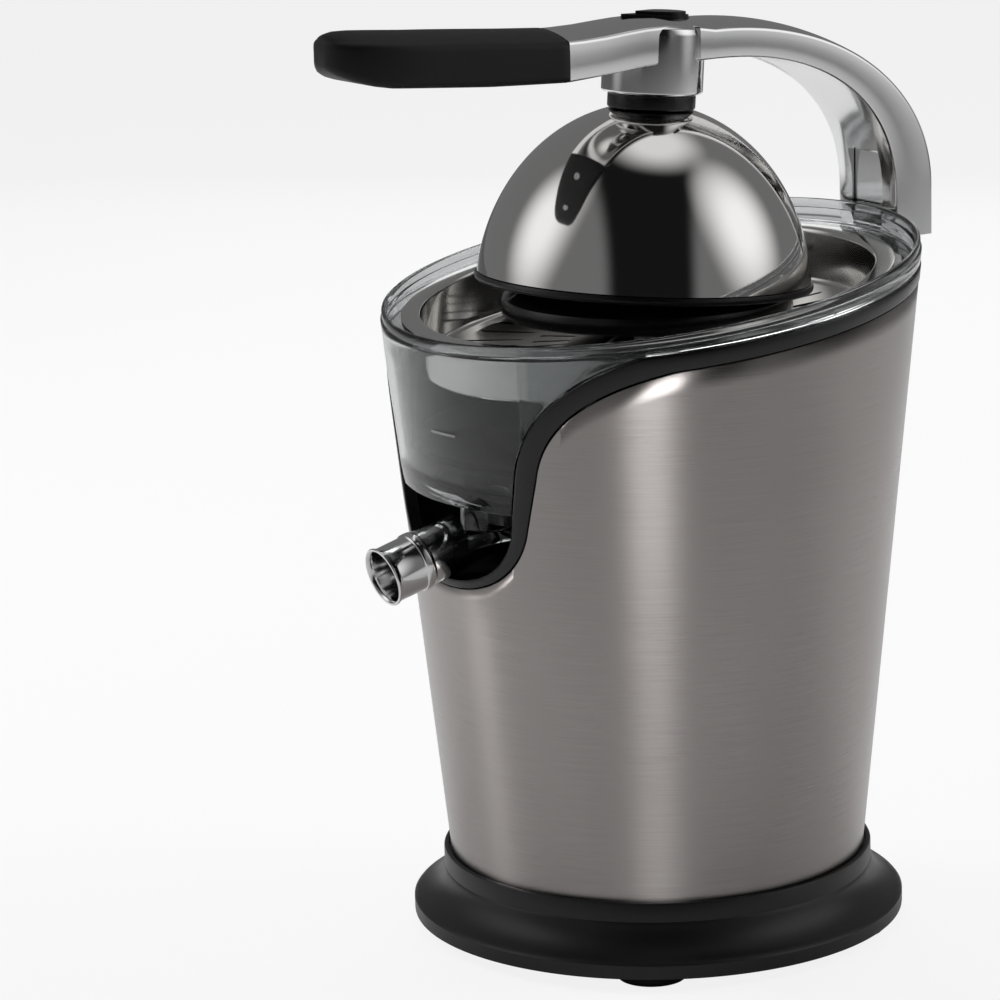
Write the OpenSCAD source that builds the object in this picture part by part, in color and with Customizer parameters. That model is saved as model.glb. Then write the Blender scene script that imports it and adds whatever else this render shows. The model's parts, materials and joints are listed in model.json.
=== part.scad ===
// Lever-operated electric citrus press.
// Origin: centre of the base on the table plane. +Z up, front (spout and grip) towards -Y, hinge at the back (+Y).
// The lever is drawn at rest, slightly raised; it closes by a few degrees and opens upwards.

/* [Body] */
// Outer radius of the steel shell at its lower edge
shell_r = 77.6; // [77:0.1:78]
// Growth of the shell radius per millimetre of height
shell_k = 0.101; // [0.099:0.0005:0.102]
// Wall thickness of the steel shell
shell_t = 1.2; // [1:0.1:1.3]
// Height of the slanted shell edge on the centre line
edge_z = 231.6; // [231:0.1:232]
// Height of the bowl rim on the centre line
rim_z = 245.6; // [245:0.1:247]
// Outer radius of the base at the table
base_r = 92; // [92:0.5:95]

/* [Lever] */
// Angle by which the lever rests above its closed position
tilt = 4.25; // [3:0.25:5]
// Height of the hinge pin
hinge_z = 256.5; // [256:0.1:257]
// Distance of the hinge pin behind the body axis
hinge_y = 108.5; // [108:0.1:109]
// Radius of the hinge pin
pin_r = 3.5; // [3:0.1:4]
// Half width of the lever
arm_w = 18; // [17.5:0.1:18.5]
// Radius of the lever hub
hub_r = 18.6; // [18.4:0.1:19]

/* [Press dome] */
// Horizontal half axis of the dome
dome_a = 61.6; // [61:0.1:62]
// Vertical half axis of the dome
dome_b = 70.5; // [70:0.1:71]

/* [Spout] */
// Outer radius of the spout tube
spout_r = 10.4; // [10:0.1:10.6]
// Downward slope of the spout
spout_a = 15.2; // [14.5:0.1:15.5]

/* [Drive] */
// Radius of the output shaft
shaft_r = 5; // [4.8:0.1:5]
// Teeth of the motor pinion
t_motor = 12; // [12:1:12]
// Teeth of the large idler wheel
t_idler = 48; // [48:1:48]
// Teeth of the small idler pinion
t_small = 14; // [14:1:14]
// Teeth of the output wheel
t_out = 56; // [56:1:56]

/* [Hidden] */
$fn = 96;

idler = [-30, 18];
motor = [0, 18];
posts = [[50, 20], [48, -22], [-22, -36], [-12, 58]];
nozzle_y = -72;
feet_r = 75.5;
feet_a = [36, 144, 216, 324];
screw_a = [0, 65, 115, 180, 250, 290];
spout_pivot = [0, -60, 153.5];

function shell_radius(z) = shell_r + shell_k * (z - 28.3);
function bez(a, b, c, t) = (1 - t) * (1 - t) * a + 2 * t * (1 - t) * b + t * t * c;
function mirrored(p) = concat(p, [for (i = [len(p) - 1 : -1 : 0]) [-p[i][0], p[i][1]]]);
// Right half of the front opening as it is cut in the shell, shrunk by d
function cut_outer(d) = concat(
  [for (i = [0 : 8]) bez([0, 140 + d], [34 - d, 140 + d], [42 - d, 164 + d], i / 8)],
  [for (i = [0 : 12]) bez([48 - d, 186 + d], [53 - d, 211 + d], [87 - d, 226.2 + d], i / 12)],
  [[91 - d, 229.5 + d], [96 - d, 233.8 + d], [102 - d, 240 + d], [110, 300]]);
// Right half of the opening inside the trim, shrunk by d
function cut_inner(d) = concat(
  [for (i = [0 : 8]) bez([0, 143.3 + d], [30 - d, 143.3 + d], [36 - d, 164 + d], i / 8)],
  [for (i = [0 : 12]) bez([40 - d, 184 + d], [45 - d, 214 + d], [83 - d, 232.4 + d], i / 12)],
  [[87 - d, 235.6 + d], [92 - d, 240 + d], [98 - d, 246 + d], [106, 300]]);
// Half-ellipse band for the dome shells
function dome_pts(a, b, z0, r1, n) = let (t0 = asin((z0 - 228) / b), t1 = acos(r1 / a))
  [for (i = [0 : n]) let (t = t0 + (t1 - t0) * i / n) [a * cos(t), 228 + b * sin(t)]];
function sgnpow(v, e) = v < 0 ? -pow(-v, e) : pow(v, e);
// Quarter superellipse from its back to its top
function arc_pts(cy, cz, a, b, e, n) = [for (i = [0 : n]) let (t = 90 * i / n)
  [cy + a * sgnpow(cos(t), 2 / e), cz + b * sgnpow(sin(t), 2 / e)]];
// Outline around two circles of different size on the Y axis
function leaf(r1, y1, r2, y2, n) = let (s = asin((r1 - r2) / (y1 - y2))) concat(
  [for (i = [0 : n]) let (t = -s + (180 + 2 * s) * i / n) [r1 * cos(t), y1 + r1 * sin(t)]],
  [for (i = [0 : 6]) let (t = 180 + s + (180 - 2 * s) * i / 6) [r2 * cos(t), y2 + r2 * sin(t)]]);
// Involute gear outline, module 1
function inv(a) = tan(a) * 180 / PI - a;
function tooth_half(z, r) = let (rp = z / 2, rb = rp * cos(20), ar = acos(min(1, rb / max(r, rb))))
  (90 / z) - (0.09 / rp) * 180 / PI + inv(20) - inv(ar);
function gear_pts(z) = let (rp = z / 2, rr = rp - 1.2, rt = rp + 0.9, rs = [rr, max(rp * cos(20), rr + 0.2), rp, rp + 0.5, rt]) [
  for (k = [0 : z - 1]) each concat(
    [for (r = rs) let (h = tooth_half(z, r), a = 360 * k / z - h) [r * cos(a), r * sin(a)]],
    [for (i = [4 : -1 : 0]) let (r = rs[i], h = tooth_half(z, r), a = 360 * k / z + h) [r * cos(a), r * sin(a)]])];

module cone(off, z0, z1) translate([0, 0, z0]) cylinder(h = z1 - z0, r1 = shell_radius(z0) + off, r2 = shell_radius(z1) + off);
module front(pts) rotate([90, 0, 0]) linear_extrude(height = 120) polygon(mirrored(pts));
// Half space above the plane z = z0 + slope * y
module above(z0, slope) translate([0, 0, z0]) rotate([atan(slope), 0, 0]) translate([-150, -150, 0]) cube([300, 300, 160]);
module side(pts, w) translate([-w, 0, 0]) rotate([90, 0, 90]) linear_extrude(height = 2 * w) polygon(pts);
module lifted() translate([0, hinge_y, hinge_z]) rotate([-tilt, 0, 0]) translate([0, -hinge_y, -hinge_z]) children();
module rod_x(y, z, r, x0, x1) translate([x0, y, z]) rotate([0, 90, 0]) cylinder(h = x1 - x0, r = r);
module rod_y(x, z, r, y0, y1) translate([x, y0, z]) rotate([-90, 0, 0]) cylinder(h = y1 - y0, r = r);
module tube(r1, r0, z0, z1) difference() {
  translate([0, 0, z0]) cylinder(h = z1 - z0, r = r1);
  translate([0, 0, z0 - 1]) cylinder(h = z1 - z0 + 2, r = r0);
}
// Round-wire coil between z0 and z1
module coil(rc, rw, z0, z1, turns, step = 24) {
  n = floor(turns * 360 / step);
  pts = [for (i = [0 : n]) for (j = [0 : 7]) let (a = i * step, b = j * 45, r = rc + rw * cos(b))
    [r * cos(a), r * sin(a), z0 + rw + (z1 - z0 - 2 * rw) * i / n + rw * sin(b)]];
  faces = concat(
    [[for (j = [0 : 7]) j]],
    [[for (j = [7 : -1 : 0]) n * 8 + j]],
    [for (i = [0 : n - 1]) for (j = [0 : 7]) each [[i * 8 + j, (i + 1) * 8 + j, (i + 1) * 8 + (j + 1) % 8], [i * 8 + j, (i + 1) * 8 + (j + 1) % 8, i * 8 + (j + 1) % 8]]]);
  polyhedron(points = pts, faces = faces, convexity = 10);
}

// ---------- base ----------
module base_ring() color([0.1, 0.1, 0.1]) difference() {
  union() {
    rotate_extrude() polygon([[base_r, 4], [base_r, 9.2], [base_r - 1.1, 10.2], [base_r - 3.6, 11.6], [base_r - 6.6, 14], [base_r - 9, 17],
      [base_r - 10.6, 20.2], [80.3, 21.6], [80.3, 28.4], [79.9, 28.8], [78.5, 28.8], [78.1, 28.4], [78.1, 27],
      [73.2, 27], [73.2, 24.5], [77, 22], [79.2, 18], [81.6, 14.2], [85.4, 10.8], [88.8, 8.6], [88.8, 4]]);
    for (a = screw_a) rotate(a) translate([75.8, 0, 7.6]) cylinder(h = 17.9, r = 4);
    rod_y(0, 15.5, 8, 77.2, 86);
  }
  for (a = screw_a) rotate(a) translate([75.8, 0, 0]) cylinder(h = 18, r = 1.5);
  rod_y(0, 15.5, 5.1, 70, 100);
  rod_y(0, 15.5, 6.1, 86, 100);
}
module bottom_cover() color([0.13, 0.13, 0.13]) difference() {
  union() {
    translate([0, 0, 4.3]) cylinder(h = 3, r = 88.4);
    tube(66, 63, 7.2, 9.5);
  }
  for (a = feet_a) rotate(a) translate([feet_r, 0, 0]) cylinder(h = 20, r = 6.1);
  cylinder(h = 20, r = 6.1);
  for (a = screw_a) rotate(a) translate([75.8, 0, 0]) { cylinder(h = 20, r = 1.8); cylinder(h = 5.8, r = 3.6); }
  for (a = [0 : 15 : 345]) rotate(a) translate([34, -1.5, 0]) cube([22, 3, 20]);
}
module foot() rotate_extrude() polygon([[0, 0], [12.2, 0], [13, 0.8], [13, 3.9], [6, 3.9], [6, 7.5], [0, 7.5]]);
module rubber_feet() color([0.06, 0.06, 0.06]) {
  for (a = feet_a) rotate(a) translate([feet_r, 0, 0]) foot();
  foot();
}
module cover_screws() color([0.6, 0.6, 0.62]) for (a = screw_a) rotate(a) translate([75.8, 0, 0]) {
  difference() {
    translate([0, 0, 4.4]) cylinder(h = 1.3, r = 3.3);
    translate([-0.5, -2.5, 4]) cube([1, 5, 1]);
  }
  translate([0, 0, 5.7]) cylinder(h = 11.8, r = 1.46);
}
module cord_gland() color([0.05, 0.05, 0.05]) difference() {
  union() { rod_y(0, 15.5, 5, 74, 87.5); rod_y(0, 15.5, 6.8, 73.8, 76.8); rod_y(0, 15.5, 5.8, 86.3, 89); }
  rod_y(0, 15.5, 3.5, 70, 95);
}

// ---------- shell and housing ----------
module body_shell() color([0.68, 0.66, 0.64]) difference() {
  cone(0, 27.3, 262);
  cone(-shell_t, 20, 270);
  front(cut_outer(0));
  above(edge_z, 0.1255);
  for (p = [[8, 214], [-8, 214]]) rod_y(p[0], p[1], 2.4, 60, 120);
}
module edge_trim() color([0.09, 0.09, 0.09]) difference() {
  cone(0.3, 130, 262);
  cone(-4.3, 120, 270);
  difference() {
    translate([-150, -150, 100]) cube([300, 300, 200]);
    front(cut_outer(0.3));
    above(edge_z + 0.3, 0.1255);
  }
  front(cut_inner(0));
  above(rim_z - 7.7, 0.12);
}
module inner_housing() color([0.08, 0.08, 0.08]) difference() {
  union() {
    difference() {
      cone(-1.5, 27.3, 262);
      cone(-4.2, 20, 270);
      front(cut_outer(-0.4));
      above(edge_z - 0.4, 0.1255);
    }
    difference() {
      intersection() {
        cone(-4.1, 150, 236);
        union() {
          translate([-100, -100, 180]) cube([200, 200, 4]);
          translate([-14, 88.5, 180]) cube([28, 12, 46]);
          translate([0, 0, 168]) cylinder(h = 16, r = 14);
        }
      }
      translate([-44.6, -120, 100]) cube([89.2, 77.6, 120]);
    }
    for (p = posts) translate([p[0], p[1], 107.3]) cylinder(h = 73.5, r = 5);
  }
  translate([0, 0, 160]) cylinder(h = 30, r = 9.05);
  for (p = posts) translate([p[0], p[1], 100]) cylinder(h = 22, r = 1.75);
  for (p = [[8, 214], [-8, 214]]) rod_y(p[0], p[1], 1.75, 80, 120);
}
module spout_recess() color([0.05, 0.05, 0.05]) difference() {
  union() {
    difference() {
      intersection() { front(cut_inner(-2.6)); cone(-4.5, 120, 171.1); }
      translate([-60, -46, 100]) cube([120, 60, 120]);
      front(cut_inner(0));
    }
    intersection() {
      front(cut_inner(-2.6));
      translate([-60, -48.5, 120]) cube([120, 2.5, 51.1]);
    }
    for (s = [-1, 1]) translate([s * 14 - 1.5, -64, 149.5]) cube([3, 17, 8]);
  }
  rod_x(spout_pivot[1], spout_pivot[2], 1.55, -20, 20);
}

// ---------- motor and gears ----------
module gear_plate() color([0.62, 0.63, 0.65]) difference() {
  translate([0, 0, 104]) cylinder(h = 3, r = 66);
  translate([0, 0, 100]) cylinder(h = 10, r = 8.05);
  translate([motor[0], motor[1], 100]) cylinder(h = 10, r = 8.1);
  translate([idler[0], idler[1], 100]) cylinder(h = 10, r = 3.02);
  for (p = posts) translate([p[0], p[1], 100]) cylinder(h = 10, r = 1.9);
  for (s = [-18, 18]) translate([motor[0] + s, motor[1], 100]) cylinder(h = 10, r = 1.7);
}
module plate_screws() color([0.6, 0.6, 0.62]) for (p = posts) translate([p[0], p[1], 0]) {
  difference() { translate([0, 0, 101.4]) cylinder(h = 2.5, r = 3.4); translate([-0.5, -2.6, 101]) cube([1, 5.2, 1.4]); }
  translate([0, 0, 103.9]) cylinder(h = 15, r = 1.7);
}
module gearbox_cover() color([0.85, 0.85, 0.8]) difference() {
  translate([0, 0, 107.1]) linear_extrude(height = 30) union() {
    circle(r = 33); translate(idler) circle(r = 29.5); translate([8, 18]) circle(r = 17);
  }
  translate([0, 0, 107]) linear_extrude(height = 28) union() {
    circle(r = 31); translate(idler) circle(r = 27.5); translate([8, 18]) circle(r = 15);
  }
  translate([0, 0, 100]) cylinder(h = 50, r = shaft_r + 0.4);
  translate([idler[0], idler[1], 100]) cylinder(h = 50, r = 3.02);
}
module motor_can() color([0.45, 0.46, 0.48]) translate([motor[0], motor[1], 0]) difference() {
  union() {
    translate([0, 0, 34]) cylinder(h = 50, r = 28);
    translate([0, 0, 83.9]) cylinder(h = 23, r = 8);
    for (s = [-18, 18]) translate([s, 0, 83.9]) cylinder(h = 20, r = 4);
  }
  translate([0, 0, 38]) cylinder(h = 42, r = 26);
  translate([0, 0, 30]) cylinder(h = 90, r = 2.56);
  for (s = [-18, 18]) translate([s, 0, 92]) cylinder(h = 20, r = 1.5);
  for (a = [0 : 45 : 315]) rotate(a) translate([14, -2, 30]) cube([8, 4, 10]);
}
module motor_stator() color([0.55, 0.35, 0.2]) translate([motor[0], motor[1], 0]) difference() {
  union() { tube(25.7, 18.6, 46, 72); tube(23, 19.4, 41, 77); }
  for (a = [0 : 60 : 300]) rotate(a) translate([18, -1.2, 40]) cube([4, 2.4, 40]);
}
module motor_rotor() color([0.7, 0.7, 0.72]) translate([motor[0], motor[1], 0]) union() {
  translate([0, 0, 36]) cylinder(h = 82.3, r = 2.5);
  translate([0, 0, 46]) cylinder(h = 26, r = 18);
  translate([0, 0, 110]) rotate(180 + 180 / t_motor) linear_extrude(height = 8) polygon(gear_pts(t_motor));
}
module motor_screws() color([0.6, 0.6, 0.62]) for (s = [-18, 18]) translate([motor[0] + s, motor[1], 0]) {
  difference() { translate([0, 0, 107.05]) cylinder(h = 2.2, r = 3); translate([-0.4, -2.4, 108.4]) cube([0.8, 4.8, 2]); }
  translate([0, 0, 94]) cylinder(h = 13.1, r = 1.45);
}
module idler_pin() color([0.75, 0.75, 0.77]) translate([idler[0], idler[1], 104]) cylinder(h = 33, r = 3);
module idler_gear() color([0.92, 0.9, 0.84]) translate([idler[0], idler[1], 0]) difference() {
  union() {
    translate([0, 0, 110]) linear_extrude(height = 8) polygon(gear_pts(t_idler));
    translate([0, 0, 117.9]) rotate(atan2(idler[1], idler[0]) + 180 + 180 / t_small) linear_extrude(height = 15.1) polygon(gear_pts(t_small));
    translate([0, 0, 107.3]) cylinder(h = 3, r = 6);
  }
  translate([0, 0, 100]) cylinder(h = 40, r = 3.06);
}
module output_gear() color([0.92, 0.9, 0.84]) difference() {
  union() {
    translate([0, 0, 121]) rotate(atan2(idler[1], idler[0])) linear_extrude(height = 8) polygon(gear_pts(t_out));
    translate([0, 0, 128.9]) cylinder(h = 4, r = 9);
  }
  translate([0, 0, 100]) cylinder(h = 40, r = shaft_r + 0.02);
  for (a = [0 : 60 : 300]) rotate(a + 30) translate([18, 0, 100]) cylinder(h = 40, r = 4);
}
module output_shaft() color([0.75, 0.75, 0.77]) union() {
  translate([0, 0, 97]) cylinder(h = 132, r = shaft_r);
  translate([0, 0, 226.5]) cylinder(h = 2.5, r = 7);
  translate([0, 0, 228.9]) cylinder(h = 30, r = 5, $fn = 6);
}
module lower_bush() color([0.72, 0.55, 0.25]) difference() {
  union() { translate([0, 0, 103.6]) cylinder(h = 4, r = 8); translate([0, 0, 107.2]) cylinder(h = 1.8, r = 9); }
  translate([0, 0, 90]) cylinder(h = 30, r = shaft_r + 0.05);
}
module upper_bush() color([0.72, 0.55, 0.25]) tube(9, shaft_r + 0.05, 169, 183.9);
module shaft_seal() color([0.07, 0.07, 0.07]) difference() {
  union() { translate([0, 0, 184.1]) cylinder(h = 2.4, r = 11.6); translate([0, 0, 186.4]) cylinder(h = 4, r = 8); }
  translate([0, 0, 180]) cylinder(h = 30, r = shaft_r + 0.06);
}
module thrust_plate() color([0.6, 0.6, 0.62]) translate([0, 0, 93.8]) cylinder(h = 3, r = 7);
module return_spring() color([0.7, 0.7, 0.72]) coil(7.4, 0.7, 109.2, 120.8, 5);
module microswitch() color([0.1, 0.1, 0.12]) difference() {
  translate([-9, -7, 84.2]) cube([18, 12.5, 6.8]);
  translate([0, 0, 85.4]) cylinder(h = 10, r = 1.9);
}
module switch_plunger() color([0.75, 0.2, 0.15]) translate([0, 0, 87.8]) cylinder(h = 5.7, r = 1.75);

// ---------- bowl, strainer, reamer ----------
module juice_bowl() color([0.8, 0.82, 0.83, 0.4]) difference() {
  union() {
    difference() {
      union() {
        difference() { translate([0, 0, 184.3]) cylinder(h = 90, r = 88); above(rim_z - 6, 0.12); }
        intersection() {
          cone(0, 171.5, 262);
          union() {
            intersection() { front(cut_inner(0.4)); translate([-60, -121, 160]) cube([120, 78, 180]); }
            above(rim_z - 7.3, 0.12);
          }
        }
      }
      translate([0, 0, 186.5]) cylinder(h = 90, r = 85.8);
      intersection() {
        cone(-2.6, 174.2, 265);
        union() {
          intersection() { front(cut_inner(2.8)); translate([-60, -121, 150]) cube([120, 76, 200]); }
          above(rim_z - 6, 0.12);
        }
      }
      above(rim_z, 0.1373);
    }
    tube(15.5, 12.6, 184.3, 219);
    translate([0, nozzle_y, 0]) tube(9.6, 7.6, 159.5, 172.5);
  }
  translate([0, nozzle_y, 150]) cylinder(h = 30, r = 7.6);
  translate([0, 0, 170]) cylinder(h = 30, r = 12.6);
}
module strainer() color([0.7, 0.69, 0.68]) difference() {
  union() {
    intersection() { translate([0, 0, 200]) cylinder(h = 80, r = 90.7); difference() { above(rim_z - 5.9, 0.12); above(rim_z - 4.9, 0.12); } }
    intersection() { translate([0, 0, 200]) cylinder(h = 80, r = 84); difference() { above(edge_z - 12.1, 0.12); above(rim_z - 4.9, 0.12); } }
  }
  intersection() { translate([0, 0, 200]) cylinder(h = 80, r = 83); above(edge_z - 11.1, 0.12); }
  translate([0, 0, 190]) cylinder(h = 80, r = 17);
  for (a = [0 : 10 : 350]) rotate(a) translate([30, -0.8, 200]) cube([14, 1.6, 28.5]);
  for (a = [5 : 10 : 355]) rotate(a) translate([50, -1, 200]) cube([24, 2, 36]);
}
module reamer_profile(g) rotate_extrude() polygon([[0, 286 + g], [3 + g, 284.8 + g], [8 + g, 280.5], [16 + g, 271], [27 + g, 258.5], [38 + g, 247.5], [46 + g, 240.8], [50.8, 238.4], [53.4, 236.8], [53.4, 230], [0, 230]]);
module reamer_cone() color([0.06, 0.06, 0.06]) difference() {
  union() {
    reamer_profile(0);
    intersection() {
      reamer_profile(2.2);
      for (a = [0 : 36 : 324]) rotate(a) translate([0, -1.3, 231]) cube([49.5, 2.6, 60]);
    }
  }
  difference() {
    rotate_extrude() polygon([[0, 229], [51.4, 229], [51.4, 234.6], [44, 238], [36, 244.5], [25, 255.5], [14, 268], [0, 268]]);
    translate([0, 0, 231.5]) cylinder(h = 40, r = 11);
  }
  translate([0, 0, 225]) cylinder(h = 35, r = 5.15, $fn = 6);
  translate([0, 0, 225]) cylinder(h = 5.2, r = 60);
}

// ---------- spout ----------
module spout() color([0.78, 0.78, 0.78]) difference() {
  union() {
    translate([0, -80, 156.9]) rotate([spout_a, 0, 0]) difference() {
      union() {
        translate([0, 20.5, 0]) rotate([90, 0, 0]) cylinder(h = 57.8, r = spout_r);
        translate([0, -35.4, 0]) rotate([90, 0, 0]) cylinder(h = 1.9, r = spout_r + 0.7);
        translate([0, -22, 0]) rotate([90, 0, 0]) cylinder(h = 2.4, r = spout_r + 0.6);
      }
      translate([0, 18, 0]) rotate([90, 0, 0]) cylinder(h = 70, r = spout_r - 1.3);
    }
    translate([-9, -63, 149.8]) cube([18, 6, 5]);
  }
  translate([-20, -86, 154.8]) cube([40, 42, 30]);
  rod_x(spout_pivot[1], spout_pivot[2], 1.55, -20, 20);
  translate([-20, -66, 135]) cube([40, 20, 10]);
}
module spout_pin() color([0.75, 0.75, 0.77]) rod_x(spout_pivot[1], spout_pivot[2], 1.5, -15.4, 15.4);

// ---------- hinge ----------
module hinge_bracket() color([0.74, 0.74, 0.74]) difference() {
  union() {
    side([[102.2, 230], [102.2, 279], [103.4, 281], [108, 281.5], [110.4, 280], [112.2, 272], [113.6, 264], [114.4, 258], [114.4, 246], [112, 236], [96, 230]], 8.8);
    side([[90, 204], [103, 204], [107.5, 214], [110.5, 228], [112.4, 238], [102.2, 240], [90, 240]], 14);
  }
  cone(0.45, 150, 262);
  rod_x(hinge_y, hinge_z, pin_r + 0.06, -20, 20);
  for (s = [-8, 8]) { rod_y(s, 214, 2.2, 80, 130); rod_y(s, 214, 4, 103, 130); }
}
module bracket_screws() color([0.6, 0.6, 0.62]) for (s = [-8, 8]) {
  difference() { rod_y(s, 214, 3.7, 103.1, 105.6); translate([s - 0.5, 104.6, 211]) cube([1, 3, 6]); }
  rod_y(s, 214, 1.72, 89, 103.2);
}
module hinge_pin() color([0.75, 0.75, 0.77]) rod_x(hinge_y, hinge_z, pin_r, -arm_w + 1, 14);
module pin_plug() color([0.8, 0.8, 0.8]) rod_x(hinge_y, hinge_z, pin_r + 1, -arm_w, -arm_w + 0.9);

// ---------- lever ----------
// Side outline of the arch, pulled in by d along its outer edge
module arch(d, w) side(concat([[118.9 - d, 248.2]], arc_pts(20, 268, 98.9 - d, 68.2 - d, 2.06, 24), [[0, 336.8 - d], [0, 321.8]],
  [for (i = [20 : -1 : 0]) arc_pts(20, 264, 81, 58.3, 2.25, 20)[i]], [[101, hinge_z], [108.5, 248.6], [110, 248.2]]), w);
module front_arm(d, w) side([[4, 338.6 - d], [-9, 338.6 - d], [-26, 337.4 - d], [-42.6, 336.9 - d], [-42.6, 319.2], [-30, 320.1], [-12, 321.8], [4, 322]], w);
module lever_arm() color([0.8, 0.8, 0.8]) difference() {
  union() {
    arch(2.6, arm_w); arch(1.2, arm_w - 2.5); arch(0, arm_w - 6);
    intersection() { arch(1.2, arm_w); translate([-50, 60, 240]) cube([100, 70, 76]); }
    intersection() { arch(0, arm_w); translate([-50, 60, 240]) cube([100, 70, 56]); }
    front_arm(2.6, arm_w); front_arm(1.2, arm_w - 2.5); front_arm(0, arm_w - 6);
    lifted() translate([0, 0, 302.2]) cylinder(h = 26.6, r = hub_r);
    side([[-42, 323.5], [-108, 327.5], [-108, 336], [-42, 333]], 10);
  }
  // slot for the bracket
  translate([-9.3, 0, 0]) rotate([90, 0, 90]) linear_extrude(height = 18.6) union() {
    intersection() {
      translate([hinge_y, hinge_z]) circle(r = 25.9);
      polygon(concat([[115, 230]], arc_pts(20, 268, 95, 64, 2.06, 24), [[20, 230]]));
    }
    translate([95, 240]) square([30, 22.5]);
  }
  // rounded lower front of the cheeks
  difference() {
    translate([-30, 95, 240]) cube([60, hinge_y - 95, hinge_z - 240]);
    rod_x(hinge_y, hinge_z, 7.5, -40, 40);
  }
  rod_x(hinge_y, hinge_z, pin_r + 0.02, -arm_w - 5, 14.2);
  rod_x(hinge_y, hinge_z, pin_r + 1.03, -arm_w - 5, -arm_w + 0.95);
  lifted() {
    translate([0, 0, 300]) cylinder(h = 18.6, r = 3.04);
    translate([0, 0, 318.8]) cylinder(h = 8, r = 5.2);
    translate([0, 0, 323.5]) linear_extrude(height = 30) polygon(leaf(8.4, 5, 1.2, -14, 24));
  }
  for (y = [-60, -95]) translate([0, y, 300]) cylinder(h = 34, r = 1.75);
}
module grip() color([0.12, 0.12, 0.12]) difference() {
  intersection() {
    side([[-42.8, 319], [-75, 320.3], [-104, 322.4], [-120, 324.7], [-131, 328.5], [-136.4, 333], [-136.8, 338], [-133, 342], [-128, 343.2], [-100, 341.2], [-76, 339.6], [-42.8, 337.3]], 18.5);
    translate([0, 0, 300]) linear_extrude(height = 60) polygon(concat([[18.2, -42.8]],
      [for (i = [0 : 24]) let (t = 180 * i / 24) [18.4 * sgnpow(cos(t), 0.9), -96 - 41 * pow(sin(t), 0.9)]], [[-18.2, -42.8]]));
  }
  side([[-40, 323.2], [-108.3, 327.3], [-108.3, 336.4], [-40, 333.3]], 10.25);
  for (y = [-60, -95]) translate([0, y, 300]) { cylinder(h = 34, r = 1.9); cylinder(h = 22.6, r = 3.5); }
}
module grip_screws() color([0.6, 0.6, 0.62]) for (y = [-60, -95]) translate([0, y, 0]) {
  difference() { translate([0, 0, 320.8]) cylinder(h = 1.7, r = 3.3); translate([-0.4, -2.4, 320]) cube([0.8, 4.8, 1.5]); }
  translate([0, 0, 322.4]) cylinder(h = 10.5, r = 1.7);
}
module neck_collar() color([0.07, 0.07, 0.07]) lifted() rotate_extrude()
  polygon([[3.3, 298.5], [9, 297.9], [12, 297.4], [15.7, 296.6], [16.1, 297], [16.1, 301.6], [15.7, 302.1], [3.3, 302.1]]);
module press_dome() color([0.75, 0.74, 0.73]) lifted() rotate_extrude()
  polygon(concat(dome_pts(dome_a, dome_b, 235.6, 8, 32), [for (i = [32 : -1 : 0]) dome_pts(dome_a - 1.2, dome_b - 1.2, 235.6, 8, 32)[i]]));
module dome_lining() color([0.06, 0.06, 0.06]) lifted() rotate_extrude()
  polygon(concat([[62, 233], [62.2, 234], [61.9, 235.3], [60.2, 235.4]], dome_pts(dome_a - 1.5, dome_b - 1.5, 235.6, 3.2, 24),
    [for (i = [24 : -1 : 0]) dome_pts(dome_a - 3.5, dome_b - 3.5, 235.6, 3.2, 24)[i]], [[58, 232.6], [61.4, 232.4]]));
module dome_bolt() color([0.6, 0.6, 0.62]) lifted() union() {
  translate([0, 0, 290.8]) cylinder(h = 3.4, r = 6);
  translate([0, 0, 294.1]) cylinder(h = 24, r = 3);
}
module release_button() color([0.08, 0.08, 0.08]) lifted() union() {
  translate([0, 0, 326]) linear_extrude(height = 4.6) polygon(leaf(8, 5, 0.8, -14, 24));
  translate([0, 0, 330.5]) linear_extrude(height = 1.2) polygon(leaf(7, 5, 0.6, -8, 24));
  translate([0, 0, 321.5]) cylinder(h = 4.6, r = 2);
}
module button_spring() color([0.7, 0.7, 0.72]) lifted() coil(3.4, 0.45, 319.1, 325.8, 4);

base_ring();
bottom_cover();
rubber_feet();
cover_screws();
cord_gland();
body_shell();
edge_trim();
inner_housing();
spout_recess();
gear_plate();
plate_screws();
gearbox_cover();
motor_can();
motor_stator();
motor_rotor();
motor_screws();
idler_pin();
idler_gear();
output_gear();
output_shaft();
lower_bush();
upper_bush();
shaft_seal();
thrust_plate();
return_spring();
microswitch();
switch_plunger();
juice_bowl();
strainer();
reamer_cone();
spout();
spout_pin();
hinge_bracket();
bracket_screws();
hinge_pin();
pin_plug();
lever_arm();
grip();
grip_screws();
neck_collar();
press_dome();
dome_lining();
dome_bolt();
release_button();
button_spring();
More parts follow.
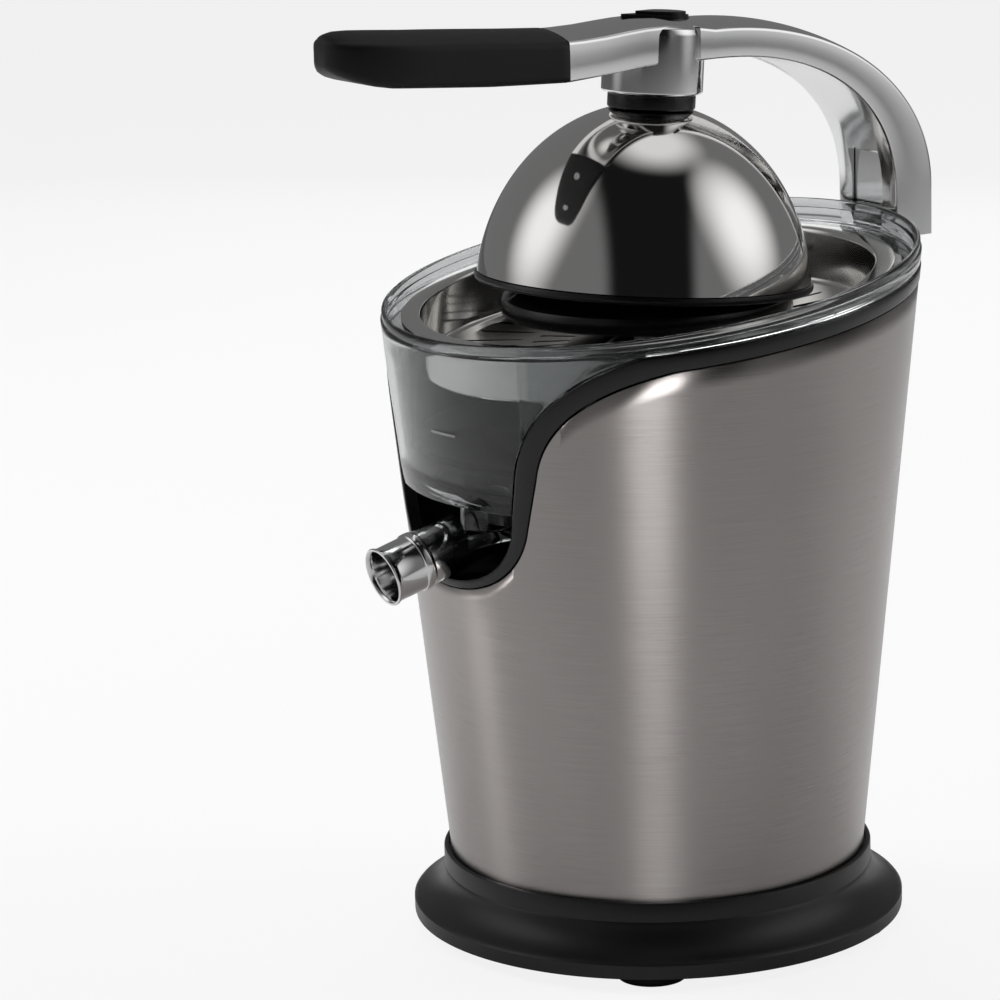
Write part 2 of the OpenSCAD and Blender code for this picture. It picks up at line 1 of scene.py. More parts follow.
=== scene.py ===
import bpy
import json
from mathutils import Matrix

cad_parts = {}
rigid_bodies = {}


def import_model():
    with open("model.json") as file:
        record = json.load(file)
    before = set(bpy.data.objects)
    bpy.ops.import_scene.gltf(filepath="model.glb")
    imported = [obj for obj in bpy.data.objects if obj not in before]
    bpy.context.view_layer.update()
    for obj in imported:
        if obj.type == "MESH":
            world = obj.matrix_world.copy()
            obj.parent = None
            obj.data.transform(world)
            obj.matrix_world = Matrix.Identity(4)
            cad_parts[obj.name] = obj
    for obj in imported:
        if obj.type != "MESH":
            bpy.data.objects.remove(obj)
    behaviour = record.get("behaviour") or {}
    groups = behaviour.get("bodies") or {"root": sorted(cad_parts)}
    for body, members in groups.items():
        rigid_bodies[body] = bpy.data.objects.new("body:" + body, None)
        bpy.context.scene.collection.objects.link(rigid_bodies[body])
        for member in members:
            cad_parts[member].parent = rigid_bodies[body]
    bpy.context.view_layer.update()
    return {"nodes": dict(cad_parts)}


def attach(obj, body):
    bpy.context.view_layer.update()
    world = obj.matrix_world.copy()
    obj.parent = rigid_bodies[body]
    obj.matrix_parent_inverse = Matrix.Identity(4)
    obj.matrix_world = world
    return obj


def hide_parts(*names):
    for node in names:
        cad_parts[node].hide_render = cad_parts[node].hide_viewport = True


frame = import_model()
import bpy, bmesh, json, math
from math import sin, cos, pi, radians, sqrt, asin, acos, atan2
from mathutils import Vector, Matrix

MM = 0.001
S = bpy.context.scene

# ------------------------------------------------------------------ shapes of the part, in mm
TILT, HY, HZ = 4.25, 108.5, 256.5
EDGE_Z, RIM_Z = 231.6, 245.6

def rad(z):
    return 77.6 + 0.101 * (z - 28.3)

def bez(a, b, c, t):
    return tuple((1 - t) ** 2 * a[i] + 2 * t * (1 - t) * b[i] + t * t * c[i] for i in (0, 1))

def cut(p, d, n1=40, n2=50, n3=16):
    a, b, c, e, f, g, q = p
    pts = [bez((0, a + d), (b[0] - d, a + d), (b[1] - d, 164 + d), i / n1) for i in range(n1 + 1)]
    last = pts[-1]
    pts += [(last[0] + (c[0] - d - last[0]) * i / n3, last[1] + (c[1] + d - last[1]) * i / n3) for i in range(1, n3)]
    pts += [bez((c[0] - d, c[1] + d), (e[0] - d, e[1] + d), (f[0] - d, f[1] + d), i / n2) for i in range(n2 + 1)]
    return pts

OUT = (140.0, (34, 42), (48, 186), (53, 211), (87, 226.2), None, None)
INN = (143.3, (30, 36), (40, 184), (45, 214), (83, 232.4), None, None)

def on_cone(x, z, off=0.0):
    r = rad(z)
    x = max(-r * 0.9999, min(r * 0.9999, x))
    phi = asin(x / r)
    return phi, z

def plane_at(phi, z0, k):
    z = z0
    for _ in range(6):
        z = z0 + k * (-rad(z) * cos(phi))
    return z

def edge_curve(par, d, z0, k, n=120):
    """Boundary on the cone from the front centre round to the back centre, as (phi, z)."""
    pts = []
    for x, z in cut(par, d):
        phi, z = on_cone(x, z)
        pts.append((phi, z))
    zp = [plane_at(p, z0, k) for p, _ in pts]
    pts = [(p, min(z, q)) for (p, z), q in zip(pts, zp)]
    last = pts[-1][0]
    z_last = pts[-1][1]
    for i in range(1, n + 1):
        p = last + (pi - last) * i / n
        q = plane_at(p, z0, k)
        w = min(1.0, (p - last) / 0.12)
        pts.append((p, q * w + (min(q, z_last + (q - plane_at(last, z0, k))) if w < 1 else 0) * (1 - w)))
    return pts

def both(pts):
    """Mirror a half boundary (front to back) into a full closed loop of (phi, z)."""
    left = [(-p, z) for p, z in pts[1:-1]][::-1]
    return pts + left

def cyl(phi, r, z):
    """phi is measured from the front (-Y) towards +X."""
    return (r * sin(phi) * MM, -r * cos(phi) * MM, z * MM)

def lifted(y, z):
    t = radians(-TILT)
    dy, dz = y - HY, z - HZ
    return HY + dy * cos(t) - dz * sin(t), HZ + dy * sin(t) + dz * cos(t)

LIFT = Matrix.Translation((0, HY * MM, HZ * MM)) @ Matrix.Rotation(radians(-TILT), 4, "X") @ Matrix.Translation((0, -HY * MM, -HZ * MM))

# ------------------------------------------------------------------ mesh helpers
def make(name, verts, faces, body, mat, node=None, slot=None, smooth=True, matrix=None, flat_angle=35):
    me = bpy.data.meshes.new(name)
    me.from_pydata(verts, [], faces)
    me.validate()
    bm = bmesh.new(); bm.from_mesh(me)
    bmesh.ops.remove_doubles(bm, verts=bm.verts, dist=1e-6)
    bmesh.ops.recalc_face_normals(bm, faces=bm.faces)
    if matrix is not None:
        bm.transform(matrix)
    for f in bm.faces:
        f.smooth = smooth
    for e in bm.edges:
        if len(e.link_faces) == 2 and e.calc_face_angle(0) > radians(flat_angle):
            e.smooth = False
    bm.to_mesh(me); bm.free()
    ob = bpy.data.objects.new(name, me)
    S.collection.objects.link(ob)
    me.materials.append(mat)
    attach(ob, body)
    if node:
        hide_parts(*(node if isinstance(node, (list, tuple)) else [node]))
    return ob

def loop_skin(rings, closed=True, cap=False):
    """rings: list of equal-length point lists. Returns verts, faces joining ring to ring; each ring is a loop."""
    n = len(rings[0]); verts = [p for r in rings for p in r]; faces = []
    m = len(rings)
    for i in range(m if closed else m - 1):
        a, b = i * n, ((i + 1) % m) * n
        for j in range(n):
            k = (j + 1) % n
            faces.append((a + j, a + k, b + k, b + j))
    if cap and not closed:
        faces.append(tuple(range(n))[::-1]); faces.append(tuple((m - 1) * n + j for j in range(n)))
    return verts, faces

def rounded(profile, r=0.4, n=3, closed=True):
    """Rounds every corner of a 2D polyline (mm)."""
    out, m = [], len(profile)
    for i in range(m):
        p = Vector(profile[i])
        if not closed and i in (0, m - 1):
            out.append(tuple(p)); continue
        a, b = Vector(profile[i - 1]), Vector(profile[(i + 1) % m])
        u, v = (a - p), (b - p)
        if u.length < 1e-9 or v.length < 1e-9:
            continue
        ang = u.angle(v)
        if ang > radians(165):
            out.append(tuple(p)); continue
        t = min(r, u.length * 0.45, v.length * 0.45)
        s, e = p + u.normalized() * t, p + v.normalized() * t
        for k in range(n + 1):
            f = k / n
            out.append(tuple((1 - f) ** 2 * s + 2 * f * (1 - f) * p + f * f * e))
    return out

def lathe(name, profile, body, mat, segs=192, closed=True, cap=True, shear=0.0, r=0.0, steps=3, **kw):
    """profile: list of (r, z) mm. closed: the profile is a loop. shear tilts the piece about X."""
    prof = rounded(profile, r, steps, closed) if r else profile
    verts, faces, n = [], [], len(prof)
    for i in range(segs):
        a = 2 * pi * i / segs
        for (q, z) in prof:
            y = q * sin(a)
            verts.append((q * cos(a) * MM, y * MM, (z + shear * y) * MM))
    for i in range(segs):
        a, b = i * n, ((i + 1) % segs) * n
        for j in range(n if closed else n - 1):
            k = (j + 1) % n
            faces.append((a + j, b + j, b + k, a + k))
    return make(name, verts, faces, body, mat, **kw)

def boolean(ob, cutter):
    md = ob.modifiers.new("cut", "BOOLEAN"); md.operation = "DIFFERENCE"; md.solver = "EXACT"; md.object = cutter
    cutter.hide_render = True; cutter.hide_viewport = True

def apply_mods(ob):
    dg = bpy.context.evaluated_depsgraph_get()
    me = bpy.data.meshes.new_from_object(ob.evaluated_get(dg), preserve_all_data_layers=True, depsgraph=dg)
    ob.modifiers.clear(); ob.data = me

def cutter(name, verts, faces):
    me = bpy.data.meshes.new(name); me.from_pydata(verts, [], faces)
    bm = bmesh.new(); bm.from_mesh(me); bmesh.ops.recalc_face_normals(bm, faces=bm.faces); bm.to_mesh(me); bm.free()
    ob = bpy.data.objects.new(name, me); S.collection.objects.link(ob)
    return ob

def prism_x(name, pts, x0, x1):
    n = len(pts)
    v = [(x0 * MM, y * MM, z * MM) for y, z in pts] + [(x1 * MM, y * MM, z * MM) for y, z in pts]
    f = [tuple(range(n))[::-1], tuple(range(n, 2 * n))] + [(i, (i + 1) % n, n + (i + 1) % n, n + i) for i in range(n)]
    return cutter(name, v, f)

def bevel(ob, w=0.3, seg=2, ang=30):
    md = ob.modifiers.new("bevel", "BEVEL"); md.width = w * MM; md.segments = seg; md.limit_method = "ANGLE"
    md.angle_limit = radians(ang); md.harden_normals = True
    return ob

# ------------------------------------------------------------------ materials
def new_mat(name):
    m = bpy.data.materials.new(name); m.use_nodes = True
    nt = m.node_tree; bs = nt.nodes["Principled BSDF"]
    return m, nt, bs

def node(nt, kind, **kw):
    n = nt.nodes.new(kind)
    for k, v in kw.items():
        setattr(n, k, v)
    return n

def coords(nt, scale, cylinder=False):
    """Object coordinates, or wrapped round the Z axis (angle, zero, height)."""
    tc = node(nt, "ShaderNodeTexCoord")
    mp = node(nt, "ShaderNodeMapping"); mp.inputs["Scale"].default_value = scale
    if not cylinder:
        nt.links.new(tc.outputs["Object"], mp.inputs["Vector"]); return mp.outputs["Vector"]
    sp = node(nt, "ShaderNodeSeparateXYZ"); nt.links.new(tc.outputs["Object"], sp.inputs[0])
    at = node(nt, "ShaderNodeMath", operation="ARCTAN2")
    nt.links.new(sp.outputs["X"], at.inputs[0]); nt.links.new(sp.outputs["Y"], at.inputs[1])
    cb = node(nt, "ShaderNodeCombineXYZ")
    nt.links.new(at.outputs[0], cb.inputs[0]); nt.links.new(sp.outputs["Z"], cb.inputs[2])
    nt.links.new(cb.outputs[0], mp.inputs["Vector"]); return mp.outputs["Vector"]

def noise(nt, vec, scale, detail=4, rough=0.55):
    n = node(nt, "ShaderNodeTexNoise"); n.inputs["Scale"].default_value = scale
    n.inputs["Detail"].default_value = detail; n.inputs["Roughness"].default_value = rough
    nt.links.new(vec, n.inputs["Vector"]); return n.outputs["Fac"]

def ramp(nt, fac, lo, hi, a=0.3, b=0.7):
    r = node(nt, "ShaderNodeMapRange"); r.inputs["From Min"].default_value = a; r.inputs["From Max"].default_value = b
    r.inputs["To Min"].default_value = lo; r.inputs["To Max"].default_value = hi
    nt.links.new(fac, r.inputs["Value"]); return r.outputs["Result"]

def mixcol(nt, fac, c1, c2):
    m = node(nt, "ShaderNodeMix", data_type="RGBA")
    nt.links.new(fac, m.inputs["Factor"]); m.inputs["A"].default_value = (*c1, 1); m.inputs["B"].default_value = (*c2, 1)
    return m.outputs["Result"]

def bump(nt, bs, height, dist, strength=1.0):
    b = node(nt, "ShaderNodeBump"); b.inputs["Distance"].default_value = dist; b.inputs["Strength"].default_value = strength
    nt.links.new(height, b.inputs["Height"]); nt.links.new(b.outputs[0], bs.inputs["Normal"])

def brushed(name, c1, c2, r0, r1, cylinder, line_scale, dist, strength, aniso=0.0, metallic=1.0):
    m, nt, bs = new_mat(name)
    fine = noise(nt, coords(nt, line_scale, cylinder), 1.0, 6, 0.7)
    wide = noise(nt, coords(nt, tuple(s * 0.13 for s in line_scale), cylinder), 1.0, 3, 0.5)
    smudge = noise(nt, coords(nt, (1, 1, 1)), 14.0, 4, 0.6)
    nt.links.new(mixcol(nt, ramp(nt, fine, 0, 1, 0.25, 0.75), c1, c2), bs.inputs["Base Color"])
    add = node(nt, "ShaderNodeMath", operation="ADD")
    nt.links.new(ramp(nt, fine, r0, r1, 0.25, 0.75), add.inputs[0]); nt.links.new(ramp(nt, smudge, -0.02, 0.03), add.inputs[1])
    nt.links.new(add.outputs[0], bs.inputs["Roughness"])
    mx = node(nt, "ShaderNodeMath", operation="ADD"); nt.links.new(fine, mx.inputs[0]); nt.links.new(wide, mx.inputs[1])
    bump(nt, bs, mx.outputs[0], dist, strength)
    bs.inputs["Metallic"].default_value = metallic
    if aniso:
        bs.inputs["Anisotropic"].default_value = aniso
        bs.inputs["Anisotropic Rotation"].default_value = 0.25
        tg = node(nt, "ShaderNodeTangent", direction_type="RADIAL", axis="Z"); nt.links.new(tg.outputs[0], bs.inputs["Tangent"])
    return m

def polished(name, base, rough, dist=0.00001, strength=0.08, metallic=1.0):
    m, nt, bs = new_mat(name)
    sm = noise(nt, coords(nt, (1, 1, 1)), 30.0, 5, 0.6)
    fine = noise(nt, coords(nt, (1, 1, 1)), 600.0, 3, 0.6)
    nt.links.new(mixcol(nt, sm, tuple(b * 0.97 for b in base), base), bs.inputs["Base Color"])
    nt.links.new(ramp(nt, sm, rough * 0.8, rough * 1.35), bs.inputs["Roughness"])
    bump(nt, bs, fine, dist, strength)
    bs.inputs["Metallic"].default_value = metallic
    return m

def plastic(name, base, rough, grain=900.0, dist=0.00006, strength=0.35, spec=0.5, vary=0.06, worn=None):
    m, nt, bs = new_mat(name)
    g = noise(nt, coords(nt, (1, 1, 1)), grain, 3, 0.6)
    big = noise(nt, coords(nt, (1, 1, 1)), 22.0, 4, 0.6)
    lighter = tuple(b * (1.35 if worn is None else worn) for b in base)
    nt.links.new(mixcol(nt, ramp(nt, big, 0, 0.6), base, lighter), bs.inputs["Base Color"])
    nt.links.new(ramp(nt, big, rough - vary, rough + vary), bs.inputs["Roughness"])
    bump(nt, bs, g, dist, strength)
    bs.inputs["Specular IOR Level"].default_value = spec
    return m

M = {}
M["shell"] = brushed("mat_brushed_shell", (0.33, 0.305, 0.295), (0.43, 0.405, 0.395), 0.25, 0.34, True, (3.0, 1.0, 5200.0), 0.00004, 0.22, 0.75)
M["steel_edge"] = brushed("mat_shell_edge", (0.6, 0.59, 0.58), (0.72, 0.71, 0.7), 0.2, 0.3, False, (300, 300, 300), 0.00002, 0.2)
M["dome"] = polished("mat_polished_dome", (0.84, 0.825, 0.81), 0.06)
M["strainer"] = polished("mat_strainer", (0.74, 0.73, 0.71), 0.11)
M["chrome"] = polished("mat_chrome", (0.86, 0.86, 0.86), 0.10)
M["spoutc"] = polished("mat_spout_chrome", (0.82, 0.82, 0.82), 0.085)
M["base"] = plastic("mat_base", (0.0075, 0.0075, 0.008), 0.38, 1300.0, 0.00005, 0.35)
M["trim"] = plastic("mat_trim", (0.0065, 0.0065, 0.007), 0.30, 900.0, 0.00002, 0.2)
M["grip"] = plastic("mat_soft_grip", (0.0085, 0.0085, 0.009), 0.52, 2200.0, 0.00004, 0.5, 0.34)
M["dark"] = plastic("mat_recess", (0.006, 0.006, 0.006), 0.45, 900.0)
M["cone"] = plastic("mat_reamer", (0.008, 0.008, 0.0085), 0.24, 700.0, 0.00001, 0.2)
M["rubber"] = plastic("mat_rubber", (0.010, 0.010, 0.010), 0.62, 1500.0, 0.00006, 0.5, 0.3)
M["fix"] = brushed("mat_fixings", (0.45, 0.45, 0.46), (0.6, 0.6, 0.61), 0.28, 0.42, False, (400, 400, 400), 0.00003, 0.25)
M["gear"] = plastic("mat_gear", (0.72, 0.69, 0.6), 0.42, 500.0)
M["motor"] = brushed("mat_motor", (0.25, 0.26, 0.27), (0.36, 0.37, 0.38), 0.35, 0.5, False, (150, 150, 150), 0.00003, 0.3)
M["copper"] = brushed("mat_windings", (0.5, 0.2, 0.08), (0.66, 0.32, 0.14), 0.3, 0.45, True, (2, 1, 3000), 0.0001, 0.5)
M["bronze"] = brushed("mat_bronze", (0.5, 0.34, 0.14), (0.6, 0.43, 0.2), 0.35, 0.5, False, (500, 500, 500), 0.00003, 0.3)
M["alloy"] = brushed("mat_alloy", (0.5, 0.51, 0.53), (0.62, 0.63, 0.65), 0.4, 0.55, False, (260, 260, 260), 0.00006, 0.4)
M["mark"] = plastic("mat_level_mark", (0.34, 0.34, 0.34), 0.4)
M["red"] = plastic("mat_switch_red", (0.45, 0.05, 0.03), 0.4)

def clear(name, col, alpha_trans, rough):
    m, nt, bs = new_mat(name)
    sm = noise(nt, coords(nt, (1, 1, 1)), 26.0, 4, 0.6)
    nt.links.new(mixcol(nt, sm, tuple(c * 0.97 for c in col), col), bs.inputs["Base Color"])
    nt.links.new(ramp(nt, sm, rough * 0.6, rough * 1.5), bs.inputs["Roughness"])
    bs.inputs["Transmission Weight"].default_value = alpha_trans
    bs.inputs["IOR"].default_value = 1.46
    return m
M["clear"] = clear("mat_clear_bowl", (0.74, 0.755, 0.76), 1.0, 0.035)

CAD_MATS = {"rubber_feet": "rubber", "cord_gland": "rubber", "shaft_seal": "rubber", "bottom_cover": "base", "inner_housing": "dark",
    "spout_recess": "dark", "gear_plate": "alloy", "gearbox_cover": "gear", "motor_can": "motor", "motor_stator": "copper",
    "idler_gear": "gear", "output_gear": "gear", "lower_bush": "bronze", "upper_bush": "bronze", "microswitch": "trim",
    "switch_plunger": "red", "hinge_bracket": "chrome", "pin_plug": "chrome", "release_button": "trim"}
for n, ob in frame["nodes"].items():
    mt = M[CAD_MATS.get(n, "fix")]
    ob.data.materials.clear(); ob.data.materials.append(mt)
    if n in ("hinge_bracket", "release_button", "rubber_feet", "bottom_cover", "cord_gland", "pin_plug", "spout_recess"):
        bevel(ob, 0.35 if n != "pin_plug" else 0.2, 2, 40)

# ------------------------------------------------------------------ steel shell
def shell():
    top = both(edge_curve(OUT, 0, EDGE_Z, 0.1255))
    rows = 26
    rings = []
    for phi, zt in top:
        ring = []
        z0 = 27.4
        zt = zt - 0.25
        for i in range(rows + 1):
            z = z0 + (zt - z0) * i / rows
            ring.append(cyl(phi, rad(z) - 0.02, z))
        ring.append(cyl(phi, rad(zt) - 0.2, zt + 0.18)); ring.append(cyl(phi, rad(zt) - 0.6, zt + 0.25)); ring.append(cyl(phi, rad(zt) - 1.0, zt + 0.18))
        for i in range(rows, -1, -4):
            z = z0 + (zt - z0) * i / rows
            ring.append(cyl(phi, rad(z) - 1.18, z))
        rings.append(ring)
    v, f = loop_skin(rings)
    make("steel_shell", v, f, "base", M["shell"], node="body_shell", slot="steel_shell", flat_angle=60)

def trim():
    a = both(edge_curve(OUT, 0.35, EDGE_Z + 0.35, 0.1255)); b = both(edge_curve(INN, 0.1, RIM_Z - 7.8, 0.12))
    rings = []
    for (p0, z0), (p1, z1) in zip(a, b):
        def at(f, off):
            p, z = p0 + (p1 - p0) * f, z0 + (z1 - z0) * f
            return cyl(p, rad(z) + off, z)
        rings.append([at(0, -3.5), at(0, -0.4), at(0.03, 0.12), at(0.10, 0.28), at(0.5, 0.29), at(0.9, 0.28), at(0.97, 0.12), at(1, -0.4), at(1, -4.2), at(0.5, -4.2)])
    v, f = loop_skin(rings)
    make("edge_trim_strip", v, f, "base", M["trim"], node="edge_trim", slot="black_trim", flat_angle=60)

# ------------------------------------------------------------------ clear bowl
def bowl():
    low = both(edge_curve(INN, 0.45, RIM_Z - 7.25, 0.12))
    rings = []
    for phi, z0 in low:
        z0 = max(z0, 171.6)
        zt = plane_at(phi, RIM_Z, 0.1373)
        zs = plane_at(phi, RIM_Z - 6.2, 0.12)
        h = zt - z0
        ring = []
        e = min(0.5, h * 0.1)
        ring.append(cyl(phi, rad(z0) - 1.3, z0)); ring.append(cyl(phi, rad(z0) - 0.4, z0 + 0.02)); ring.append(cyl(phi, rad(z0) - 0.05, z0 + e))
        zr = max(z0 + e * 1.5, zt - 6.9)
        for i in range(1, 7):
            z = z0 + e + (zr - z0 - e) * i / 7
            ring.append(cyl(phi, rad(z) - 0.05, z))
        # double-step rim
        for dz, off in ((6.9, -0.05), (6.7, -0.02), (4.0, -0.05), (3.7, -0.25), (3.5, -0.75), (0.9, -0.8), (0.35, -1.0), (0.05, -1.4), (0.05, -2.0), (0.4, -2.4)):
            z = max(zr, zt - dz)
            ring.append(cyl(phi, rad(z) + off, z))
        zi = max(z0 + 2.6, min(zs, zt - 1.2))
        front = z0 < 200
        zi = (z0 + 2.6) if front else max(z0 + 1.0, zs)
        for i in range(0, 7):
            z = (zt - 0.8) + (zi - zt + 0.8) * i / 6
            ring.append(cyl(phi, rad(z) - 2.5, z))
        rings.append(ring)
    v, f = loop_skin(rings)
    ob = make("bowl_wall", v, f, "base", M["clear"], node="juice_bowl", slot="clear_bowl", flat_angle=50)
    # the round bowl inside
    pr = [(85.9, 186.6), (85.9, 239.0), (87.9, 239.0), (87.9, 184.4), (15.5, 184.4), (12.7, 184.4), (12.7, 218.9), (15.4, 218.9), (15.4, 186.6)]
    segs, n = 160, 0
    prof = rounded(pr, 0.9, 3)
    verts, faces, n = [], [], len(prof)
    for i in range(segs):
        a = 2 * pi * i / segs
        for q, z in prof:
            y = q * sin(a)
            if z > 200 and q > 50:
                z = 200 + (z - 200) * (1 + 0.12 * y / 39.0)
            verts.append((q * cos(a) * MM, y * MM, z * MM))
    for i in range(segs):
        a, b = i * n, ((i + 1) % segs) * n
        for j in range(n):
            k = (j + 1) % n
            faces.append((a + j, b + j, b + k, a + k))
    # open the wall towards the front pocket
    keep = []
    for fc in faces:
        c = [sum(verts[i][k] for i in fc) / 4 for k in range(3)]
        if c[1] < -0.0448 and abs(c[0]) < 0.036 and c[2] < 0.222:
            if (c[0] ** 2 + c[1] ** 2) ** 0.5 > 0.0 and (c[0] ** 2 + c[1] ** 2) ** 0.5 > 0.08:
                continue
        keep.append(fc)
    make("bowl_inner", verts, keep, "base", M["clear"], node="juice_bowl", slot="clear_bowl", flat_angle=50)
    # flange that joins the round bowl to the rim, and the pocket floor with its nozzle
    lathe("bowl_flange", [(87.95, 239.4), (87.95, 238.5), (96.2, 238.5), (96.2, 239.4)], "base", M["clear"], shear=0.12, node="juice_bowl", slot="clear_bowl", flat_angle=30)
    floor_v, floor_f = [], []
    xs = [i * 2.0 for i in range(-18, 19)]
    for zz in (171.7, 174.1):
        for x in xs:
            yf = -sqrt((rad(zz) - 2.55) ** 2 - x * x)
            floor_v.append((x * MM, yf * MM, zz * MM)); floor_v.append((x * MM, -45.0 * MM, zz * MM))
    n = len(xs)
    for k in range(n - 1):
        for o in (0, 2 * n):
            floor_f.append((o + 2 * k, o + 2 * k + 1, o + 2 * k + 3, o + 2 * k + 2))
        floor_f.append((2 * k, 2 * k + 2, 2 * n + 2 * k + 2, 2 * n + 2 * k)); floor_f.append((2 * k + 1, 2 * k + 3, 2 * n + 2 * k + 3, 2 * n + 2 * k + 1))
    floor_f.append((0, 1, 2 * n + 1, 2 * n)); floor_f.append((2 * n - 2, 2 * n - 1, 4 * n - 1, 4 * n - 2))
    ob = make("bowl_pocket_floor", floor_v, floor_f, "base", M["clear"], node="juice_bowl", slot="clear_bowl", flat_angle=30)
    nz = lathe("bowl_nozzle", [(9.6, 159.7), (9.6, 171.6), (9.8, 172.6), (7.7, 174.0), (7.7, 159.7)], "base", M["clear"], segs=64, r=0.4, node="juice_bowl", slot="clear_bowl",
               matrix=Matrix.Translation((0, -0.072, 0)))
    # level mark
    v, f = [], []
    for i in range(9):
        x = 1.5 + 14.0 * i / 8
        for z in (197.6, 198.5):
            r = rad(z) + 0.0
            v.append((x * MM, -sqrt(r * r - x * x) * MM + 0.00001, z * MM))
            r -= 0.15
            v.append((x * MM, -sqrt(r * r - x * x) * MM, z * MM))
    for i in range(8):
        a, b = 4 * i, 4 * i + 4
        f += [(a, b, b + 2, a + 2), (a + 1, a + 3, b + 3, b + 1), (a, a + 1, b + 1, b), (a + 2, b + 2, b + 3, a + 3)]
    f += [(0, 2, 3, 1), (32, 33, 35, 34)]
    make("bowl_level_mark", v, f, "base", M["mark"], slot="clear_bowl")

# ------------------------------------------------------------------ strainer
def strainer():
    prof = [(90.4, 240.2), (90.0, 239.85), (84.2, 239.85), (83.9, 239.0), (83.8, 221.5), (82.6, 219.9), (74.5, 219.7), (74.5, 220.4), (82.2, 220.6), (82.9, 221.8), (83.0, 239.4), (83.6, 240.6), (90.0, 240.65), (90.45, 240.45)]
    lathe("strainer_wall", rounded(prof, 0.6, 3), "base", M["strainer"], segs=240, shear=0.12, node="strainer", slot="polished_steel", flat_angle=50)
    segs = 240
    rs = [17, 20, 29.8, 44.2, 49.5, 75]
    v, f = [], []
    lev = (219.75, 220.45)
    for lv in lev:
        for r in rs:
            for i in range(segs):
                a = 2 * pi * i / segs
                y = r * sin(a)
                v.append((r * cos(a) * MM, y * MM, (lv + 0.12 * y) * MM))
    per = segs * len(rs)
    def gap(j, i):
        c = (i + 0.5) / segs * 360
        if j == 2:
            return (c % 10) < 1.5 or (c % 10) > 8.5
        if j == 4:
            return 3.9 < (c % 10) < 6.1
        return False
    for j in range(len(rs) - 1):
        for i in range(segs):
            if gap(j, i):
                continue
            k = (i + 1) % segs
            q = (j * segs + i, (j + 1) * segs + i, (j + 1) * segs + k, j * segs + k)
            f.append(q); f.append(tuple(per + t for t in q)[::-1])
            for ii, other in ((i, (i - 1) % segs), (k, (i + 1) % segs)):
                if gap(j, other):
                    f.append((j * segs + ii, (j + 1) * segs + ii, per + (j + 1) * segs + ii, per + j * segs + ii))
            for jj, oj in ((j, j - 1), (j + 1, j + 1)):
                if oj < 0 or oj > len(rs) - 2 or gap(oj, i):
                    f.append((jj * segs + i, jj * segs + k, per + jj * segs + k, per + jj * segs + i))
    make("strainer_floor", v, f, "base", M["strainer"], node="strainer", slot="polished_steel", flat_angle=30)
    # weld seam on the wall
    v, f = [], []
    for sgn in (1,):
        a0 = radians(48)
        for z in (221.5, 239.3):
            for da, off in ((-0.006, 0.0), (-0.003, 0.22), (0.003, 0.22), (0.006, 0.0)):
                r = 82.99 - off
                x, y = r * cos(a0 + da), r * sin(a0 + da)
                v.append((x * MM, y * MM, (z + 0.12 * y) * MM))
        f = [(0, 1, 5, 4), (1, 2, 6, 5), (2, 3, 7, 6), (0, 4, 7, 3)]
    make("strainer_seam", v, f, "base", M["strainer"], node="strainer", slot="polished_steel")

# ------------------------------------------------------------------ reamer
def reamer():
    pts = [(0.01, 286.0), (3, 284.8), (8, 280.5), (16, 271), (27, 258.5), (38, 247.5), (46, 240.8), (50.4, 238.5), (52.9, 237.1), (53.35, 236.4), (53.35, 231.0), (52.9, 230.4)]
    dense = []
    for (a, b) in zip(pts, pts[1:]):
        m = 5 if b[0] < 50 else 1
        for i in range(m):
            dense.append((a[0] + (b[0] - a[0]) * i / m, a[1] + (b[1] - a[1]) * i / m))
    dense.append(pts[-1])
    inner = [(51.6, 230.4), (51.6, 234.0), (44, 237.4), (11.5, 262), (0.01, 262)]
    prof = dense + inner
    segs = 360; v, f = [], []; n = len(prof)
    for i in range(segs):
        a = 2 * pi * i / segs
        d = abs(((math.degrees(a) + 18) % 36) - 18)
        for j, (r, z) in enumerate(prof):
            off = 0.0
            if j < len(dense) and r < 49:
                arc = radians(d) * max(r, 2.0)
                off = 2.15 * math.exp(-(arc / 1.7) ** 2) * min(1.0, max(0.0, (49 - r) / 5.0)) * min(1.0, r / 3 + 0.3)
            q = r + off * 0.72; zz = z + off * 0.62
            v.append((q * cos(a) * MM, q * sin(a) * MM, zz * MM))
    for i in range(segs):
        a, b = i * n, ((i + 1) % segs) * n
        for j in range(n - 1):
            f.append((a + j, b + j, b + j + 1, a + j + 1))
    make("reamer_body", v, f, "drive", M["cone"], node="reamer_cone", slot="black_cone", flat_angle=40)

